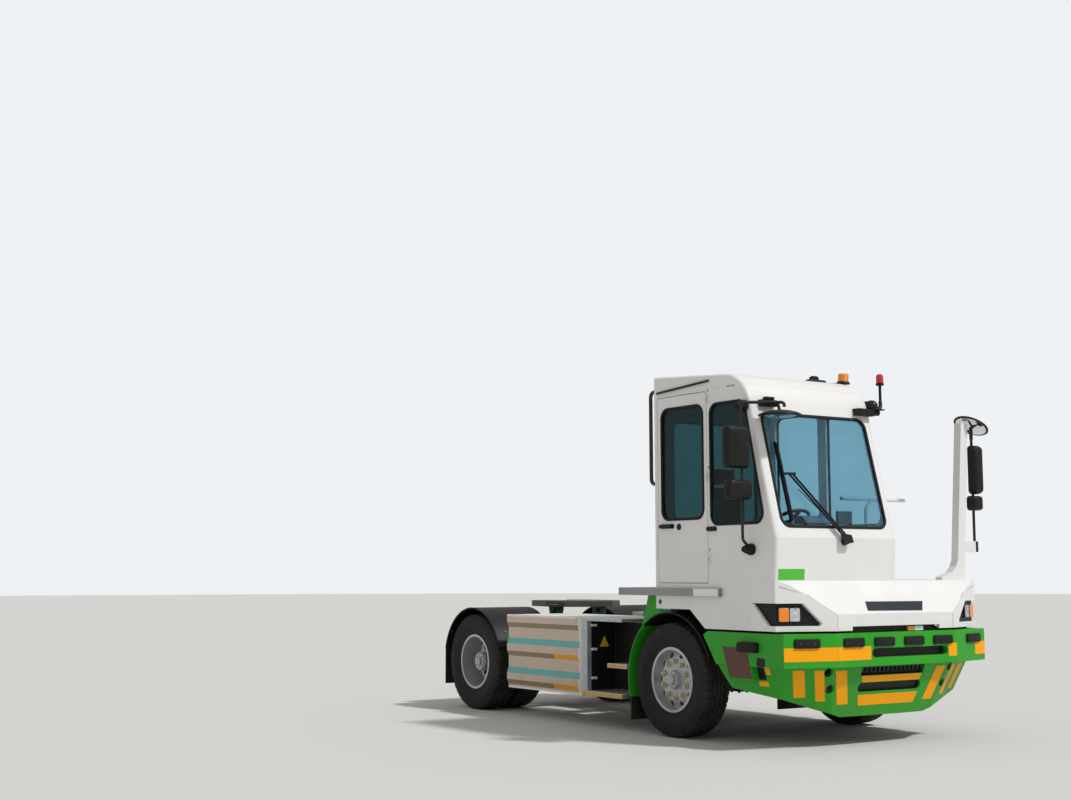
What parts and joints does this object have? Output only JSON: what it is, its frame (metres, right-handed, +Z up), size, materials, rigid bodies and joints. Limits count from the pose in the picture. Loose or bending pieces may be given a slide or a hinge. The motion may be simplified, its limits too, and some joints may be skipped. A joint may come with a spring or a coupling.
{
  "type": "terminal tractor",
  "caption": "Electric two-axle terminal tractor: offset single-seat cab, green bumper, side battery boxes and steps, steered front wheels, twin rear wheels and a lifting fifth wheel.",
  "frame": {"origin": "on the ground, midway between the bumper pads and the tail, on the centre line", "axes": "+X forward, +Y to the vehicle's left, +Z up"},
  "size_m": [5.87, 3.1999, 3.3764],
  "materials": {
    "white_paint": "satin",
    "green_paint": "satin",
    "deck_paint": "satin",
    "lift_paint": "satin",
    "frame_paint": "matte",
    "axle_paint": "matte",
    "silver_paint": "satin",
    "box_white": "satin",
    "galvanised": "matte",
    "step_grating": "satin",
    "cast_housing": "matte",
    "bare_steel": "satin",
    "rod_chrome": "polished",
    "black_plastic": "matte",
    "dash_plastic": "matte",
    "clear_lens": "glossy",
    "beacon_lens": "glossy",
    "seat_fabric": "matte",
    "rubber": "matte",
    "tyre": "matte",
    "glass": "glossy"
  },
  "bodies": {
    "chassis": {"frame_rails": "frame_paint", "crossmembers": "frame_paint", "cab_mounts": "frame_paint", "cab_right_side": "white_paint", "cab_left_side": "white_paint", "cab_rear_wall": "white_paint", "cab_front_frame": "white_paint", "cab_roof": "white_paint", "cab_floor": "frame_paint", "cab_glass": "glass", "front_panel": "white_paint", "lamp_trays": "black_plastic", "lamps": "clear_lens", "front_bumper": "green_paint", "bumper_pads": "rubber", "step_board": "step_grating", "deck_cover": "white_paint", "mudguards": "black_plastic", "front_guards": "green_paint", "battery_boxes": "box_white", "step_frames": "galvanised", "rear_deck": "deck_paint", "front_axle": "axle_paint", "front_springs": "axle_paint", "rear_axle": "axle_paint", "drive_motor": "cast_housing", "seat_base": "black_plastic", "seat_cushions": "seat_fabric", "dashboard": "dash_plastic", "mirror_arms": "black_plastic", "mirror_heads": "black_plastic", "wiper": "black_plastic", "roof_fittings": "beacon_lens", "handrails": "white_paint", "air_couplings": "cast_housing"},
    "door": {"door_panel": "white_paint", "door_glass": "glass", "door_fittings": "black_plastic"},
    "steering_wheel": {"steering_wheel": "black_plastic"},
    "knuckle_right": {"knuckle_right": "axle_paint"},
    "knuckle_left": {"knuckle_left": "axle_paint"},
    "tie_rod": {"tie_rod": "bare_steel"},
    "front_wheel_right": {"front_rim_right": "silver_paint", "front_tyre_right": "tyre"},
    "front_wheel_left": {"front_rim_left": "silver_paint", "front_tyre_left": "tyre"},
    "rear_wheel_right": {"rear_rims_right": "silver_paint", "rear_tyres_right": "tyre"},
    "rear_wheel_left": {"rear_rims_left": "silver_paint", "rear_tyres_left": "tyre"},
    "lift": {"lift_frame": "lift_paint"},
    "fifth_wheel": {"fifth_wheel": "bare_steel"},
    "lift_barrels": {"lift_barrels": "lift_paint"},
    "lift_rods": {"lift_rods": "rod_chrome"}
  },
  "joints": [
    {"name": "door_swing", "type": "hinge", "parent": "chassis", "child": "door", "pos_m": [1.847, -1.264, 2.3], "axis": [0, 0, 1], "range_deg": [0, 85]},
    {"name": "steer_right", "type": "hinge", "parent": "chassis", "child": "knuckle_right", "pos_m": [1.245, -0.95, 0.522], "axis": [0, 0, 1], "range_deg": [-40, 40]},
    {"name": "steer_left", "type": "hinge", "parent": "chassis", "child": "knuckle_left", "pos_m": [1.245, 0.95, 0.522], "axis": [0, 0, 1], "range_deg": [-40, 40]},
    {"name": "tie_rod_swivel", "type": "hinge", "parent": "knuckle_right", "child": "tie_rod", "pos_m": [1.045, -0.95, 0.465], "axis": [0, 0, 1], "range_deg": [-40, 40]},
    {"name": "steering_wheel_turn", "type": "hinge", "parent": "chassis", "child": "steering_wheel", "pos_m": [2.125, -0.56, 1.93], "axis": [-0.5722, 0, 0.8201], "range_deg": [-720, 720]},
    {"name": "front_right_roll", "type": "hinge", "parent": "knuckle_right", "child": "front_wheel_right", "pos_m": [1.245, -1.079, 0.522], "axis": [0, 1, 0], "continuous": true},
    {"name": "front_left_roll", "type": "hinge", "parent": "knuckle_left", "child": "front_wheel_left", "pos_m": [1.245, 1.079, 0.522], "axis": [0, 1, 0], "continuous": true},
    {"name": "rear_right_roll", "type": "hinge", "parent": "chassis", "child": "rear_wheel_right", "pos_m": [-2.255, -0.898, 0.522], "axis": [0, 1, 0], "continuous": true},
    {"name": "rear_left_roll", "type": "hinge", "parent": "chassis", "child": "rear_wheel_left", "pos_m": [-2.255, 0.898, 0.522], "axis": [0, 1, 0], "continuous": true},
    {"name": "lift_raise", "type": "hinge", "parent": "chassis", "child": "lift", "pos_m": [-0.255, 0, 0.985], "axis": [0, 1, 0], "range_deg": [0, 15]},
    {"name": "fifth_wheel_tilt", "type": "hinge", "parent": "lift", "child": "fifth_wheel", "pos_m": [-1.955, 0, 1.095], "axis": [0, 1, 0], "range_deg": [-12, 12]},
    {"name": "barrel_swing", "type": "hinge", "parent": "chassis", "child": "lift_barrels", "pos_m": [-0.855, 0, 0.64], "axis": [0, 1, 0], "range_deg": [0, 21.1]},
    {"name": "rod_slide", "type": "slide", "parent": "lift_barrels", "child": "lift_rods", "axis": [-0.9106, 0, 0.4133], "range_m": [0, 0.1617]}
  ],
  "couplings": [
    {"joint": "steer_left", "follows": "steer_right", "ratio": 1},
    {"joint": "tie_rod_swivel", "follows": "steer_right", "ratio": -1},
    {"joint": "steering_wheel_turn", "follows": "steer_right", "ratio": 18},
    {"joint": "barrel_swing", "follows": "lift_raise", "ratio": 1.4},
    {"joint": "rod_slide", "follows": "lift_raise", "m_per_rad": 0.614}
  ]
}
